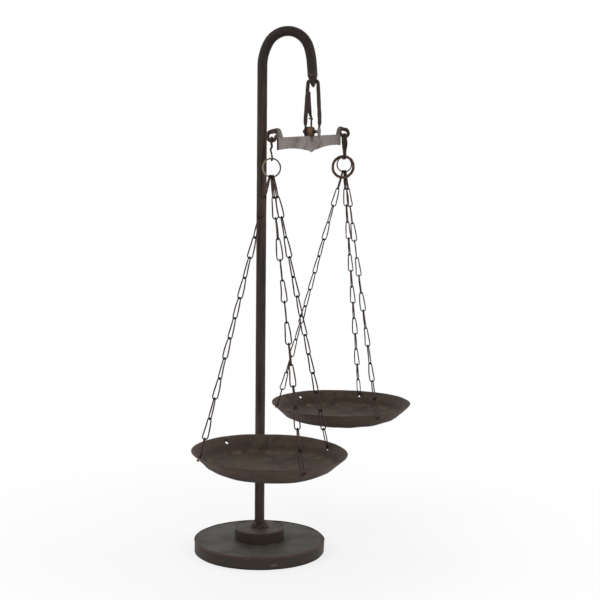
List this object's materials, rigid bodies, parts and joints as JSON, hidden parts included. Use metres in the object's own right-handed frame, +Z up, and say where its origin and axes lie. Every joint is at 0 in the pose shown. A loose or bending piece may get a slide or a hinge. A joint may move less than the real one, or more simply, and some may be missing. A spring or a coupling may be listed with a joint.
{
  "type": "trade scale",
  "caption": "Free-standing hand-forged balance scale: a crook stand carries a swan-neck beam from which two round dished pans hang on chains of wire links.",
  "frame": {"origin": "centre of the foot's flat underside", "axes": "+Z up along the pole; +X from the pole towards the point the beam hangs from; +Y along the beam towards the end with the thick balance ring"},
  "size_m": [0.2955, 0.5975, 0.7938],
  "materials": {
    "foot_iron": "rough dark iron with rust at the edges",
    "bar_iron": "dark brown-black iron bar, fine pitting",
    "beam_iron": "worn warm grey iron, rubbed bright on the plate",
    "knuckle_rust": "golden-brown rust, rough",
    "hook_iron": "dark brown rusted iron",
    "ring_rust": "yellowish-brown rust on wire",
    "chain_iron": "dark brown iron wire",
    "pan_iron": "dark brown sheet iron with ochre mottling"
  },
  "bodies": {
    "stand": {"base_disc": "foot_iron", "hub_disc": "foot_iron", "foot_weld": "foot_iron", "crook_rod": "bar_iron", "end_stud": "knuckle_rust"},
    "shackle": {"shackle": "beam_iron"},
    "beam": {"beam": "beam_iron", "knuckle": "knuckle_rust", "tongue": "beam_iron", "fulcrum_axle": "beam_iron"},
    "left_hook": {"left_hook": "hook_iron"},
    "left_ring": {"left_ring": "ring_rust"},
    "left_set": {"left_pan": "pan_iron", "left_chain_a": "chain_iron", "left_chain_b": "chain_iron", "left_chain_c": "chain_iron"},
    "right_hook": {"right_hook": "hook_iron"},
    "right_ring": {"right_ring": "hook_iron"},
    "balance_ring": {"balance_ring": "hook_iron"},
    "right_set": {"right_pan": "pan_iron", "right_chain_d": "chain_iron", "right_chain_e": "chain_iron", "right_chain_f": "chain_iron"}
  },
  "joints": [
    {"name": "shackle_swing", "type": "hinge", "parent": "stand", "child": "shackle", "pos_m": [0.07733, 0, 0.71424], "axis": [1, 0, 0], "range_deg": [-5, 5]},
    {"name": "beam_tilt", "type": "hinge", "parent": "shackle", "child": "beam", "pos_m": [0.07603, 0, 0.64034], "axis": [1, 0, 0], "range_deg": [-8, 8]},
    {"name": "left_hook_swing", "type": "hinge", "parent": "beam", "child": "left_hook", "pos_m": [0.07003, -0.18775, 0.62617], "axis": [1, 0, 0], "range_deg": [-8, 8]},
    {"name": "left_ring_swing", "type": "hinge", "parent": "left_hook", "child": "left_ring", "pos_m": [0.07003, -0.18775, 0.59977], "axis": [0, 1, 0], "range_deg": [-4, 4]},
    {"name": "left_pan_swing", "type": "hinge", "parent": "left_ring", "child": "left_set", "pos_m": [0.07003, -0.18775, 0.57777], "axis": [1, 0, 0], "range_deg": [-4, 4]},
    {"name": "right_hook_swing", "type": "hinge", "parent": "beam", "child": "right_hook", "pos_m": [0.08203, 0.18817, 0.63372], "axis": [1, 0, 0], "range_deg": [-8, 8]},
    {"name": "right_ring_swing", "type": "hinge", "parent": "right_hook", "child": "right_ring", "pos_m": [0.08203, 0.18817, 0.59887], "axis": [0, 1, 0], "range_deg": [-4, 4]},
    {"name": "balance_ring_swing", "type": "hinge", "parent": "right_hook", "child": "balance_ring", "pos_m": [0.08203, 0.18277, 0.59887], "axis": [0, 1, 0], "range_deg": [-4, 4]},
    {"name": "right_pan_swing", "type": "hinge", "parent": "right_ring", "child": "right_set", "pos_m": [0.08203, 0.18817, 0.57802], "axis": [1, 0, 0], "range_deg": [-4, 4]}
  ],
  "couplings": [
    {"joint": "left_hook_swing", "follows": "beam_tilt", "ratio": -1},
    {"joint": "right_hook_swing", "follows": "beam_tilt", "ratio": -1}
  ]
}
